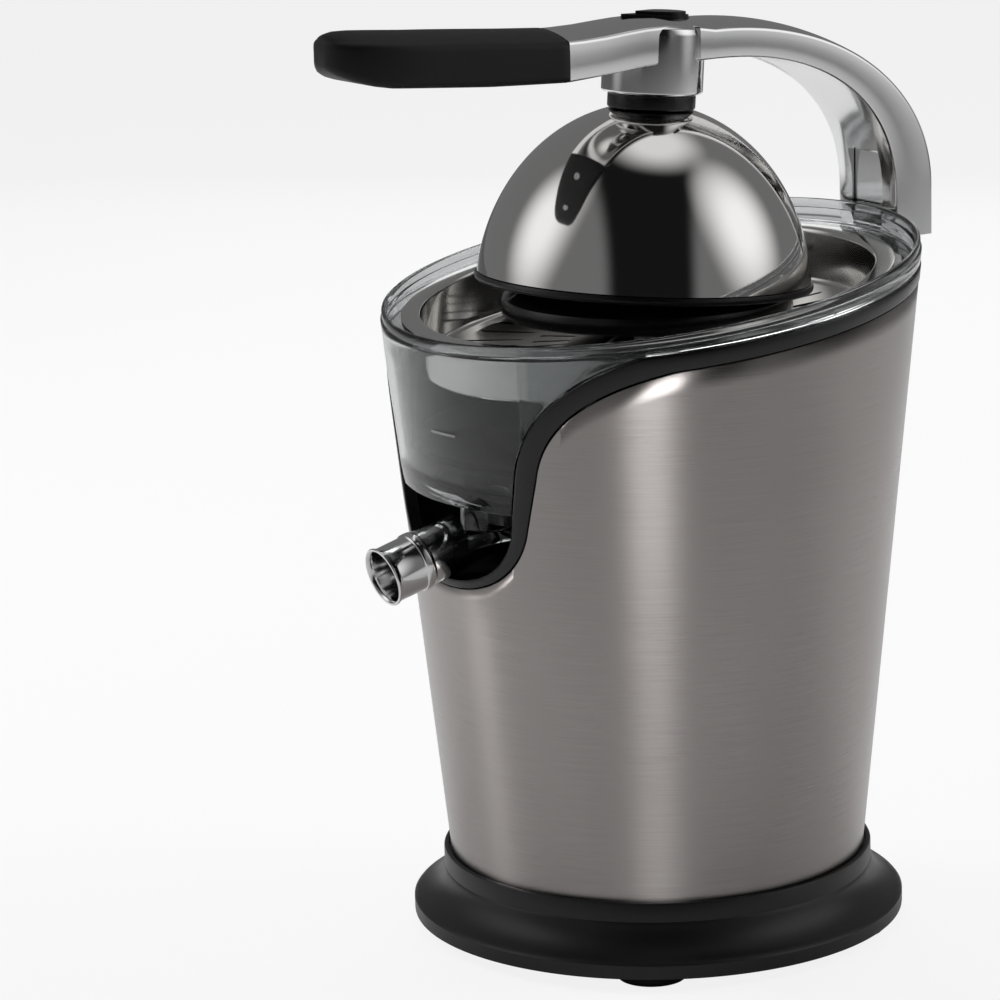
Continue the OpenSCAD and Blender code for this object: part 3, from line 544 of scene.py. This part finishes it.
# ------------------------------------------------------------------ dome, lining, collar
def dome():
    def ell(a, b, z0, r1, n):
        t0, t1 = asin((z0 - 228) / b), acos(r1 / a)
        return [(a * cos(t0 + (t1 - t0) * i / n), 228 + b * sin(t0 + (t1 - t0) * i / n)) for i in range(n + 1)]
    out = ell(61.58, 70.45, 235.65, 8, 60); inn = ell(60.5, 69.4, 235.65, 8, 30)[::-1]
    lathe("press_dome_shell", out + inn, "lever", M["dome"], segs=256, matrix=LIFT, node="press_dome", slot="polished_steel", flat_angle=50)
    lin_o = ell(60.05, 68.95, 235.8, 3.4, 30); lin_i = ell(58.2, 67.1, 235.8, 3.4, 30)[::-1]
    prof = rounded([(58.0, 232.7), (61.4, 232.45), (62.0, 233.0), (62.15, 234.0), (61.9, 235.2)], 0.3, 3, False) + [(60.4, 235.45)] + lin_o + lin_i
    lathe("dome_lining_shell", prof, "lever", M["trim"], segs=256, matrix=LIFT, node="dome_lining", slot="black_trim", flat_angle=50)
    lathe("neck_collar_ring", rounded([(3.4, 298.4), (9, 297.95), (12, 297.45), (15.7, 296.7), (16.05, 297.1), (16.05, 301.5), (15.7, 302.05), (3.4, 302.05)], 0.35, 3), "lever", M["trim"], segs=128,
          matrix=LIFT, node="neck_collar", slot="black_trim", flat_angle=40)

# ------------------------------------------------------------------ lever arm
def sgn(v, e):
    return -((-v) ** e) if v < 0 else v ** e

def section(o, i, w, crown, re=1.6, rb=1.0, skirt=1.0, n=6):
    """Closed cross-section between outer point o and inner point i (y, z): crowned outside, flat inside."""
    o, i = Vector(o), Vector(i); d = o - i; L = d.length; u = d / L
    pts2 = []
    def p(x, h):
        q = i + u * h
        return (x * MM, q.x * MM, q.y * MM)
    half = []
    half += [(0, 0), (w * 0.5, 0), (w - rb, 0)]
    for k in range(1, 4):
        t = pi / 2 * k / 3
        half.append((w - rb + rb * sin(t), rb - rb * cos(t)))
    ht = L - crown
    half.append((w, rb + (ht - re - rb) * 0.5)); half.append((w, ht - re))
    for k in range(1, 5):
        t = pi / 2 * k / 4 * 0.86
        half.append((w - re + re * cos(t), ht - re + re * sin(t)))
    x1, h1 = half[-1]
    for k in range(1, 9):
        f = k / 8
        x = x1 * (1 - f)
        half.append((x, L - (L - h1) * (x / x1) ** 2))
    right = [p(x, h) for x, h in half]
    left = [p(-x, h) for x, h in half[1:-1]][::-1]
    return right + left

def lever():
    st = []
    st.append(((-42.65, 336.9), (-42.65, 319.25), 2.9)); st.append(((-36, 336.9), (-36, 319.65), 2.9)); st.append(((-26, 337.2), (-26, 320.3), 2.8))
    st.append(((-16, 337.9), (-16.2, 321.3), 2.6)); st.append(((-9, 338.3), (-9, 321.9), 2.5)); st.append(((0, 338.5), (0, 322.1), 2.5)); st.append(((11.8, 337.4), (11.8, 322.25), 2.5)); st.append(((13.2, 337.15), (13.2, 322.28), 2.5))
    N = 44
    for k in range(N + 1):
        t = (pi / 2) * (1 - k / N)
        o = (20 + 98.8 * sgn(cos(t) if t < pi / 2 else 0.0, 2 / 2.06), 268 + 68.1 * sgn(sin(t), 2 / 2.06))
        i = (20 + 81.05 * sgn(cos(t) if t < pi / 2 else 0.0, 2 / 2.25), 264 + 58.35 * sgn(sin(t), 2 / 2.25))
        st.append((o, i, 2.6 - 2.2 * (k / N) ** 1.2))
    for z in (262, 257, 254, 251.5, 249.5, 248.3):
        yi = 101.05
        dz = HZ - z
        if dz > 0:
            yi = HY - sqrt(max(0.0, 7.45 ** 2 - dz * dz)) if dz < 7.4 else HY - 0.5
        st.append(((118.8, z), (min(yi, 108.2), z if z > 248.4 else 248.3), 0.4))
    def half_width(y):
        # the front arm and the hub's back groove stand a little inside the hub
        for (a, wa), (b, wb) in zip(((-43, 17.6), (-30, 16.7), (-16, 16.2), (11.8, 16.2), (13.2, 17.95)), ((-30, 16.7), (-16, 16.2), (11.8, 16.2), (13.2, 17.95), (200, 17.95))):
            if a <= y <= b:
                return wa + (wb - wa) * (y - a) / (b - a)
        return 17.95
    rings = [section(o, i, half_width(o[0]), c) for o, i, c in st]
    v, f = loop_skin(rings, closed=False, cap=True)
    arm = make("lever_arm_casting", v, f, "lever", M["chrome"], node="lever_arm", slot="chrome_metal", flat_angle=42)
    # slot for the bracket in the arch's rear leg
    sl = []
    for k in range(0, 41):
        t = pi * 2 * k / 40
        y, z = HY + 25.8 * cos(t), HZ + 25.8 * sin(t)
        sl.append((y, z))
    pts = []
    for y, z in sl:
        # keep the web
        zz = max(-1.0, min(1.0, (z - 268) / 64.0))
        lim = 20 + 95 * (max(0.0, 1 - abs(zz) ** 2.06)) ** (1 / 2.06) if z > 268 else 115.0
        if z < 262.5:
            lim = 125.0
        pts.append((min(y, lim), z))
    c1 = prism_x("slot_cut", pts, -9.3, 9.3)
    c2 = prism_x("slot_cut_low", [(92, 236), (126, 236), (126, 262.5), (92, 262.5)], -9.3, 9.3)
    boolean(arm, c1); boolean(arm, c2); apply_mods(arm)
    for c in (c1, c2):
        bpy.data.objects.remove(c)
    for e in arm.data.polygons:
        e.use_smooth = True
    bm = bmesh.new(); bm.from_mesh(arm.data)
    for e in bm.edges:
        e.smooth = not (len(e.link_faces) == 2 and e.calc_face_angle(0) > radians(38))
    bm.to_mesh(arm.data); bm.free()
    hub = lathe("lever_hub", rounded([(3.3, 302.3), (17.9, 302.3), (18.5, 303.0), (18.5, 324.4), (18.0, 326.2), (16.8, 327.1), (12, 327.4), (12, 321), (3.3, 321)], 0.5, 4), "lever", M["chrome"], segs=128,
          matrix=LIFT, node="lever_arm", slot="chrome_metal", flat_angle=40)
    button_pocket([arm, hub])
    bevel(arm, 0.3, 2, 38)
    # bore caps of the hinge pin on the far side stay CAD; a dark ring of painted shade fills the seam at the grip joint
    ring = section((-42.72, 336.5), (-42.72, 319.7), 17.5, 2.8); ring2 = section((-42.55, 336.5), (-42.55, 319.7), 17.5, 2.8)
    v, f = loop_skin([ring, ring2], closed=False, cap=True)
    make("grip_joint_painted_shade", v, f, "lever", M["dark"], slot="black_trim")

def button_pocket(obs):
    """The leaf-shaped pocket in the hub's top that the release button sinks into."""
    r1, y1, r2, y2 = 8.4, 5.0, 1.2, -14.0
    q = asin((r1 - r2) / (y1 - y2)); pts = []
    for i in range(25):
        t = -q + (pi + 2 * q) * i / 24; pts.append((r1 * cos(t), y1 + r1 * sin(t)))
    for i in range(7):
        t = pi + q + (pi - 2 * q) * i / 6; pts.append((r2 * cos(t), y2 + r2 * sin(t)))
    n = len(pts)
    v = [LIFT @ Vector((x * MM, y * MM, z * MM)) for z in (323.5, 352.0) for x, y in pts]
    f = [tuple(range(n))[::-1], tuple(range(n, 2 * n))] + [(i, (i + 1) % n, n + (i + 1) % n, n + i) for i in range(n)]
    for ob in obs:
        c = cutter("button_cut", [tuple(p) for p in v], f)
        boolean(ob, c); apply_mods(ob); bpy.data.objects.remove(c)
        bm = bmesh.new(); bm.from_mesh(ob.data)
        for fc in bm.faces:
            fc.smooth = True
        for e in bm.edges:
            e.smooth = not (len(e.link_faces) == 2 and e.calc_face_angle(0) > radians(38))
        bm.to_mesh(ob.data); bm.free()

def grip():
    top = [(-42.85, 337.2), (-60, 338.3), (-76, 339.5), (-90, 340.5), (-100, 341.1), (-115, 342.2), (-124, 342.8), (-130, 342.9), (-134.2, 342.2), (-135.8, 341.2), (-136.7, 339.9)]
    bot = [(-42.85, 319.1), (-60, 319.75), (-75, 320.4), (-90, 321.5), (-104, 322.5), (-115, 323.2), (-122, 324.3), (-129, 326.3), (-133.5, 328.3), (-135.8, 330.0), (-136.7, 331.6)]
    top = [(y if y > -96 else -96 + (y + 96) * 0.935, z) for y, z in top]; bot = [(y if y > -96 else -96 + (y + 96) * 0.935, z) for y, z in bot]
    def ip(c, y):
        for (a, b) in zip(c, c[1:]):
            if b[0] <= y <= a[0]:
                t = (y - a[0]) / (b[0] - a[0]); t2 = t
                return a[1] + (b[1] - a[1]) * t2
        return c[-1][1]
    ys = [-42.85, -43.2] + [-43.2 - (60.0) * i / 20 for i in range(1, 21)] + [-103.2 - 30.6 * sin(pi / 2 * i / 22) for i in range(1, 23)]
    rings = []
    for y in ys:
        s = min(1.0, max(0.0, (-96 - y) / 38.1))
        w = 18.35 * (1 - s ** 2.35) ** (1 / 2.35) if y < -96 else 18.35
        w = max(w, 1.2)
        zt, zb = ip(top, y), ip(bot, y)
        if y > -43.0:
            w -= 0.35; zt -= 0.35; zb += 0.35
        h = zt - zb
        cr = min(3.2, h * 0.25) * min(1.0, w / 12)
        rings.append(section((y, zt), (y, zb), w, cr, re=min(3.0, h * 0.2, w * 0.5), rb=min(2.6, h * 0.2, w * 0.5)))
    v, f = loop_skin(rings, closed=False, cap=True)
    ob = make("grip_cover", v, f, "lever", M["grip"], node="grip", slot="soft_grip", flat_angle=50)
    # screw wells underneath
    for y in (-60, -95):
        vs, fs = [], []
        k = 32
        for z in (317.0, 322.8):
            for i in range(k):
                a = 2 * pi * i / k
                vs.append((3.5 * cos(a) * MM, (y + 3.5 * sin(a)) * MM, z * MM))
        fs = [tuple(range(k))[::-1], tuple(range(k, 2 * k))] + [(i, (i + 1) % k, k + (i + 1) % k, k + i) for i in range(k)]
        c = cutter("well", vs, fs); boolean(ob, c); apply_mods(ob); bpy.data.objects.remove(c)
    bm = bmesh.new(); bm.from_mesh(ob.data)
    for fc in bm.faces:
        fc.smooth = True
    for e in bm.edges:
        e.smooth = not (len(e.link_faces) == 2 and e.calc_face_angle(0) > radians(50))
    bm.to_mesh(ob.data); bm.free()

# ------------------------------------------------------------------ spout
def spout():
    prof = [(10.35, -20.4), (10.35, 20.6), (10.85, 21.0), (10.95, 22.0), (10.95, 23.4), (10.85, 24.2), (10.35, 24.5), (10.35, 34.6), (10.6, 35.6), (11.05, 36.6), (11.05, 37.0), (10.7, 37.25), (10.1, 37.2), (9.5, 36.4), (9.15, 35.0), (9.15, -20.4)]
    prof = rounded(prof, 0.35, 3)
    segs, n = 96, len(prof); v, f = [], []
    mt = Matrix.Translation((0, -0.08, 0.1569)) @ Matrix.Rotation(radians(15.2), 4, "X") @ Matrix.Rotation(radians(90), 4, "X")
    for i in range(segs):
        a = 2 * pi * i / segs
        for r, s in prof:
            v.append((r * cos(a) * MM, r * sin(a) * MM, s * MM))
    for i in range(segs):
        a, b = i * n, ((i + 1) % segs) * n
        for j in range(n):
            k = (j + 1) % n
            f.append((a + j, b + j, b + k, a + k))
    ob = make("spout_tube", v, f, "spout", M["spoutc"], node="spout", slot="chrome_metal", matrix=mt, flat_angle=40)
    c2 = prism_x("trough", [(-86, 154.8), (-44, 154.8), (-44, 184.8), (-86, 184.8)], -20, 20)
    boolean(ob, c2); apply_mods(ob)
    bpy.data.objects.remove(c2)
    bm = bmesh.new(); bm.from_mesh(ob.data)
    for fc in bm.faces:
        fc.smooth = True
    for e in bm.edges:
        e.smooth = not (len(e.link_faces) == 2 and e.calc_face_angle(0) > radians(35))
    bm.to_mesh(ob.data); bm.free()
    bevel(ob, 0.28, 2, 35)
    # pivot block under the trough
    x, y0, y1, z0, z1 = 9, -63, -57, 149.9, 154.7
    pv = prism_x("spout_pivot_block", rounded([(y0, z0), (y1, z0), (y1, z1), (y0, z1)], 0.8, 3), -8.4, 8.4)
    pv.data.materials.append(M["spoutc"]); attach(pv, "spout"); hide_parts("spout")

# ------------------------------------------------------------------ base
def base():
    out = [(91.9, 4.2)]
    out += [(91.98, 5.0), (91.98, 9.2), (91.5, 9.75), (90.6, 10.3)]
    for i in range(1, 15):
        t = i / 14
        p = bez((90.6, 10.3), (82.2, 13.4), (80.6, 21.2), t)
        out.append(p)
    out += [(80.3, 21.7), (80.3, 28.1), (80.05, 28.6), (79.6, 28.78), (78.9, 28.78), (78.5, 28.6), (78.35, 28.2), (78.35, 27.1), (73.4, 27.0), (73.4, 24.7), (76.8, 22.2), (79.0, 18.0), (81.4, 14.3), (85.2, 10.9), (88.85, 8.5), (88.85, 4.2)]
    lathe("base_flare", out, "base", M["base"], segs=256, node="base_ring", slot="black_base", flat_angle=28)
    v, f = [], []
    k = 48
    prof = rounded([(5.25, 76.5), (7.95, 76.5), (7.95, 85.9), (5.25, 85.9)], 0.5, 3)
    for i in range(k):
        a = 2 * pi * i / k
        for r, y in prof:
            v.append((r * cos(a) * MM, y * MM, (15.5 + r * sin(a)) * MM))
    n = len(prof)
    for i in range(k):
        a, b = i * n, ((i + 1) % k) * n
        for j in range(n):
            q = (j + 1) % n
            f.append((a + j, b + j, b + q, a + q))
    make("base_cord_boss", v, f, "base", M["base"], node="base_ring", slot="black_base", flat_angle=40)

shell(); trim(); bowl(); strainer(); reamer(); dome(); lever(); grip(); spout(); base()

# ------------------------------------------------------------------ stage, light, camera
fm = bpy.data.meshes.new("floor"); fm.from_pydata([(-6, -6, 0), (6, -6, 0), (6, 6, 0), (-6, 6, 0)], [], [(0, 1, 2, 3)])
floor = bpy.data.objects.new("floor", fm); S.collection.objects.link(floor)
mf, nt, bs = new_mat("mat_floor"); bs.inputs["Base Color"].default_value = (0.86, 0.86, 0.86, 1); bs.inputs["Roughness"].default_value = 0.7
bs.inputs["Specular IOR Level"].default_value = 0.2
em = node(nt, "ShaderNodeEmission"); em.inputs["Color"].default_value = (1, 1, 1, 1); em.inputs["Strength"].default_value = 1.0
lpf = node(nt, "ShaderNodeLightPath"); mlt = node(nt, "ShaderNodeMath", operation="MULTIPLY"); mlt.inputs[1].default_value = 0.86
nt.links.new(lpf.outputs["Is Camera Ray"], mlt.inputs[0]); fmx = node(nt, "ShaderNodeMixShader")
nt.links.new(mlt.outputs[0], fmx.inputs[0]); nt.links.new(bs.outputs[0], fmx.inputs[1]); nt.links.new(em.outputs[0], fmx.inputs[2])
nt.links.new(fmx.outputs[0], nt.nodes["Material Output"].inputs["Surface"])
fm.materials.append(mf)

w = bpy.data.worlds.new("studio"); S.world = w; w.use_nodes = True
wn = w.node_tree; wn.nodes.clear()
out = node(wn, "ShaderNodeOutputWorld"); lp = node(wn, "ShaderNodeLightPath")
b1 = node(wn, "ShaderNodeBackground"); b2 = node(wn, "ShaderNodeBackground"); mx = node(wn, "ShaderNodeMixShader")
b1.inputs["Color"].default_value = (0.80, 0.80, 0.81, 1); b1.inputs["Strength"].default_value = 0.10
b2.inputs["Color"].default_value = (1, 1, 1, 1); b2.inputs["Strength"].default_value = 1.0
# a grey room with a dark upright strip on the side where the viewer stands
tcw = node(wn, "ShaderNodeTexCoord")
def wdot(v):
    d = node(wn, "ShaderNodeVectorMath", operation="DOT_PRODUCT"); d.inputs[1].default_value = v
    wn.links.new(tcw.outputs["Generated"], d.inputs[0]); return d.outputs["Value"]
def wramp(val, a, b, lo, hi):
    m = node(wn, "ShaderNodeMapRange"); m.interpolation_type = "SMOOTHSTEP"
    for k, v in (("From Min", a), ("From Max", b), ("To Min", lo), ("To Max", hi)):
        m.inputs[k].default_value = v
    wn.links.new(val, m.inputs["Value"]); return m.outputs["Result"]
def wmath(op, a, b=None):
    m = node(wn, "ShaderNodeMath", operation=op); wn.links.new(a, m.inputs[0])
    if b is not None:
        wn.links.new(b, m.inputs[1])
    return m.outputs[0]
side_w = wmath("ABSOLUTE", wdot((cos(radians(62)), sin(radians(62)), 0)))
dark_w = wmath("MULTIPLY", wramp(side_w, 0.36, 0.62, 1.0, 0.0), wramp(wdot((sin(radians(58)), -cos(radians(58)), 0.15)), -0.25, 0.15, 0.0, 1.0))
wn.links.new(wramp(dark_w, 0.0, 1.0, 0.20, 0.010), b1.inputs["Strength"])
wn.links.new(lp.outputs["Is Camera Ray"], mx.inputs[0]); wn.links.new(b1.outputs[0], mx.inputs[1]); wn.links.new(b2.outputs[0], mx.inputs[2]); wn.links.new(mx.outputs[0], out.inputs[0])

AZ = radians(56.0)
def polar(az_off, dist, h):
    a = AZ + radians(az_off)
    return Vector((dist * sin(a), -dist * cos(a), h))

def area(name, loc, target, sx, sy, power, color=(1, 1, 1)):
    li = bpy.data.lights.new(name, "AREA"); li.shape = "RECTANGLE"; li.size = sx; li.size_y = sy; li.energy = power; li.color = color
    ob = bpy.data.objects.new(name, li); S.collection.objects.link(ob); ob.location = loc
    ob.rotation_euler = (Vector(target) - loc).to_track_quat("-Z", "Y").to_euler()
    ob.visible_glossy = not name.startswith("soft")
    return ob

polish = bpy.data.collections.new("box_light")
for ob in list(S.collection.all_objects):
    if ob.type == "MESH" and ob.name not in ("steel_shell", "floor"):
        polish.objects.link(ob)
def softbox(name, loc, target, sx, sy, strength, inner=0.25):
    """A glowing card whose edges fade out, seen only in reflections."""
    me = bpy.data.meshes.new(name); me.from_pydata([(-1, -1, 0), (1, -1, 0), (1, 1, 0), (-1, 1, 0)], [], [(0, 1, 2, 3)])
    ob = bpy.data.objects.new(name, me); S.collection.objects.link(ob)
    ob.location = loc; ob.scale = (sx / 2, sy / 2, 1)
    ob.rotation_euler = (Vector(target) - loc).to_track_quat("-Z", "Y").to_euler()
    m = bpy.data.materials.new("mat_" + name); m.use_nodes = True; nt = m.node_tree; nt.nodes.clear()
    o = node(nt, "ShaderNodeOutputMaterial"); tr = node(nt, "ShaderNodeBsdfTransparent"); em = node(nt, "ShaderNodeEmission")
    em.inputs["Strength"].default_value = strength
    tc = node(nt, "ShaderNodeTexCoord"); ln = node(nt, "ShaderNodeVectorMath", operation="LENGTH")
    nt.links.new(tc.outputs["Object"], ln.inputs[0])
    mr = node(nt, "ShaderNodeMapRange"); mr.interpolation_type = "SMOOTHSTEP"
    for k, v in (("From Min", inner), ("From Max", 1.0), ("To Min", 1.0), ("To Max", 0.0)):
        mr.inputs[k].default_value = v
    nt.links.new(ln.outputs["Value"], mr.inputs["Value"])
    ms = node(nt, "ShaderNodeMixShader"); nt.links.new(mr.outputs["Result"], ms.inputs[0])
    nt.links.new(tr.outputs[0], ms.inputs[1]); nt.links.new(em.outputs[0], ms.inputs[2]); nt.links.new(ms.outputs[0], o.inputs["Surface"])
    me.materials.append(m)
    ob.visible_camera = False; ob.visible_diffuse = False; ob.visible_shadow = False; ob.visible_transmission = False
    ob.light_linking.receiver_collection = polish
    return ob
softbox("box_left", polar(-88, 1.5, 1.1), (0, 0, 0.30), 2.0, 2.9, 1.0, 0.12)
softbox("box_right", polar(84, 1.5, 1.0), (0, 0, 0.30), 2.3, 2.9, 1.05, 0.12)
softbox("box_top", polar(150, 0.35, 1.7), (0, 0, 0.3), 1.6, 1.6, 0.75)
area("soft_left", polar(-112, 1.3, 1.05), (0, 0, 0.27), 0.75, 0.95, 13)
area("soft_right", polar(98, 1.3, 1.2), (0, 0, 0.27), 0.65, 0.95, 9)
area("soft_top", polar(180, 0.75, 1.55), (0, 0, 0.3), 0.8, 0.6, 6)
area("soft_back", polar(172, 1.7, 0.7), (0, 0, 0.25), 1.5, 0.9, 6)
only = bpy.data.collections.new("shell_light"); only.objects.link(bpy.data.objects["steel_shell"])
for nm, off, hh, sx, pw in (("shell_left", -88, 0.30, 0.26, 5.2), ("shell_front", 0, 0.16, 0.40, 7.5)):
    li = area(nm, polar(off, 1.25, hh), (0, 0, 0.12), sx, 0.9, pw)
    li.light_linking.receiver_collection = only

D, H, F, roll, pitch, yaw = 1.48714, 0.49992, 4116.49, radians(-1.526), radians(12.868), radians(2.151)
C = Vector((D * sin(AZ), -D * cos(AZ), H))
a2 = AZ + yaw
fw = Vector((-sin(a2) * cos(pitch), cos(a2) * cos(pitch), -sin(pitch)))
r = fw.cross(Vector((0, 0, 1))).normalized(); u = r.cross(fw)
r2 = cos(roll) * r + sin(roll) * u; u2 = -sin(roll) * r + cos(roll) * u
cam = bpy.data.cameras.new("cam"); co = bpy.data.objects.new("cam", cam); S.collection.objects.link(co)
cam.lens = F / 1000 * 36; cam.sensor_width = 36; cam.clip_end = 50; cam.clip_start = 0.05
co.matrix_world = Matrix(((r2.x, u2.x, -fw.x, C.x), (r2.y, u2.y, -fw.y, C.y), (r2.z, u2.z, -fw.z, C.z), (0, 0, 0, 1)))
S.camera = co
S.view_settings.view_transform = "Standard"
